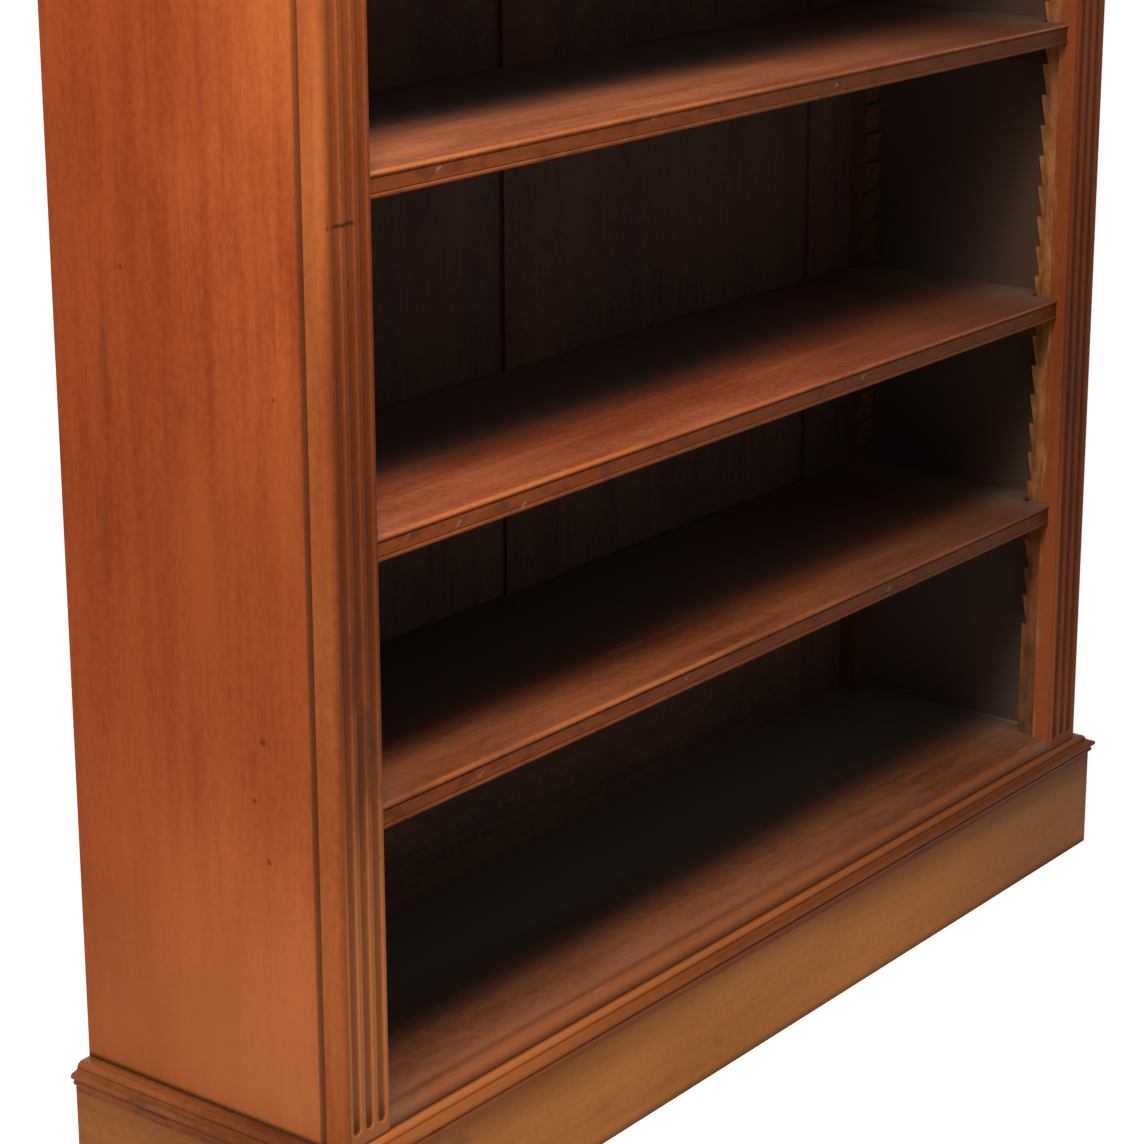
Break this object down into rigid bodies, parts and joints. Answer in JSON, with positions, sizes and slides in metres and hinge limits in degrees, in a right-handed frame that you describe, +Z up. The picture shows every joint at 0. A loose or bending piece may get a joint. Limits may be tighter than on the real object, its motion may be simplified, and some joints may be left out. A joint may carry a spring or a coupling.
{
  "type": "bookcase with adjustable shelves",
  "caption": "Open mahogany bookcase with fluted pilaster fronts, a moulded plinth and top, and shelves that lift off loose bearers held in sawtooth racks.",
  "frame": {"origin": "on the floor, under the middle of the bookcase's bounding box", "axes": "+X to the right as seen from the front, +Y to the back, +Z up"},
  "size_m": [1.326, 0.341, 1.515],
  "materials": {
    "mahogany": "satin french polish",
    "shelf_mahogany": "worn polish",
    "rack_wood": "dry, dusty",
    "back_wood": "dark stain",
    "rough_wood": "sawn, unpolished"
  },
  "bodies": {
    "carcass": {"left_side": "mahogany", "left_stile": "mahogany", "left_front_rack": "rack_wood", "left_rear_rack": "rack_wood", "right_side": "mahogany", "right_stile": "mahogany", "right_front_rack": "rack_wood", "right_rear_rack": "rack_wood", "front_plinth": "mahogany", "left_plinth": "mahogany", "right_plinth": "mahogany", "plinth_back": "rough_wood", "kick_rail": "rough_wood", "glue_blocks": "rough_wood", "front_plinth_moulding": "mahogany", "left_plinth_moulding": "mahogany", "right_plinth_moulding": "mahogany", "bottom_board": "shelf_mahogany", "back_left_stile": "back_wood", "back_right_stile": "back_wood", "back_bottom_rail": "back_wood", "back_top_rail": "back_wood", "back_muntin": "back_wood", "back_left_panel": "back_wood", "back_right_panel": "back_wood", "sub_top": "rough_wood", "top_rail": "mahogany", "front_cornice": "mahogany", "left_cornice": "mahogany", "right_cornice": "mahogany", "top_board": "mahogany"},
    "lower_shelf": {"lower_shelf": "shelf_mahogany"},
    "left_lower_bearer": {"left_lower_bearer": "rack_wood"},
    "right_lower_bearer": {"right_lower_bearer": "rack_wood"},
    "middle_shelf": {"middle_shelf": "shelf_mahogany"},
    "left_middle_bearer": {"left_middle_bearer": "rack_wood"},
    "right_middle_bearer": {"right_middle_bearer": "rack_wood"},
    "upper_shelf": {"upper_shelf": "shelf_mahogany"},
    "left_upper_bearer": {"left_upper_bearer": "rack_wood"},
    "right_upper_bearer": {"right_upper_bearer": "rack_wood"},
    "top_shelf": {"top_shelf": "shelf_mahogany"},
    "left_top_bearer": {"left_top_bearer": "rack_wood"},
    "right_top_bearer": {"right_top_bearer": "rack_wood"}
  },
  "joints": [
    {"name": "lower_shelf_lift", "type": "slide", "parent": "carcass", "child": "lower_shelf", "axis": [0, 0, 1], "range_m": [0, 0.185]},
    {"name": "left_lower_bearer_slide", "type": "slide", "parent": "carcass", "child": "left_lower_bearer", "axis": [1, 0, 0], "range_m": [0, 0.04]},
    {"name": "right_lower_bearer_slide", "type": "slide", "parent": "carcass", "child": "right_lower_bearer", "axis": [-1, 0, 0], "range_m": [0, 0.04]},
    {"name": "middle_shelf_lift", "type": "slide", "parent": "carcass", "child": "middle_shelf", "axis": [0, 0, 1], "range_m": [0, 0.253]},
    {"name": "left_middle_bearer_slide", "type": "slide", "parent": "carcass", "child": "left_middle_bearer", "axis": [1, 0, 0], "range_m": [0, 0.04]},
    {"name": "right_middle_bearer_slide", "type": "slide", "parent": "carcass", "child": "right_middle_bearer", "axis": [-1, 0, 0], "range_m": [0, 0.04]},
    {"name": "upper_shelf_lift", "type": "slide", "parent": "carcass", "child": "upper_shelf", "axis": [0, 0, 1], "range_m": [0, 0.219]},
    {"name": "left_upper_bearer_slide", "type": "slide", "parent": "carcass", "child": "left_upper_bearer", "axis": [1, 0, 0], "range_m": [0, 0.04]},
    {"name": "right_upper_bearer_slide", "type": "slide", "parent": "carcass", "child": "right_upper_bearer", "axis": [-1, 0, 0], "range_m": [0, 0.04]},
    {"name": "top_shelf_lift", "type": "slide", "parent": "carcass", "child": "top_shelf", "axis": [0, 0, 1], "range_m": [0, 0.183]},
    {"name": "left_top_bearer_slide", "type": "slide", "parent": "carcass", "child": "left_top_bearer", "axis": [1, 0, 0], "range_m": [0, 0.04]},
    {"name": "right_top_bearer_slide", "type": "slide", "parent": "carcass", "child": "right_top_bearer", "axis": [-1, 0, 0], "range_m": [0, 0.04]}
  ]
}
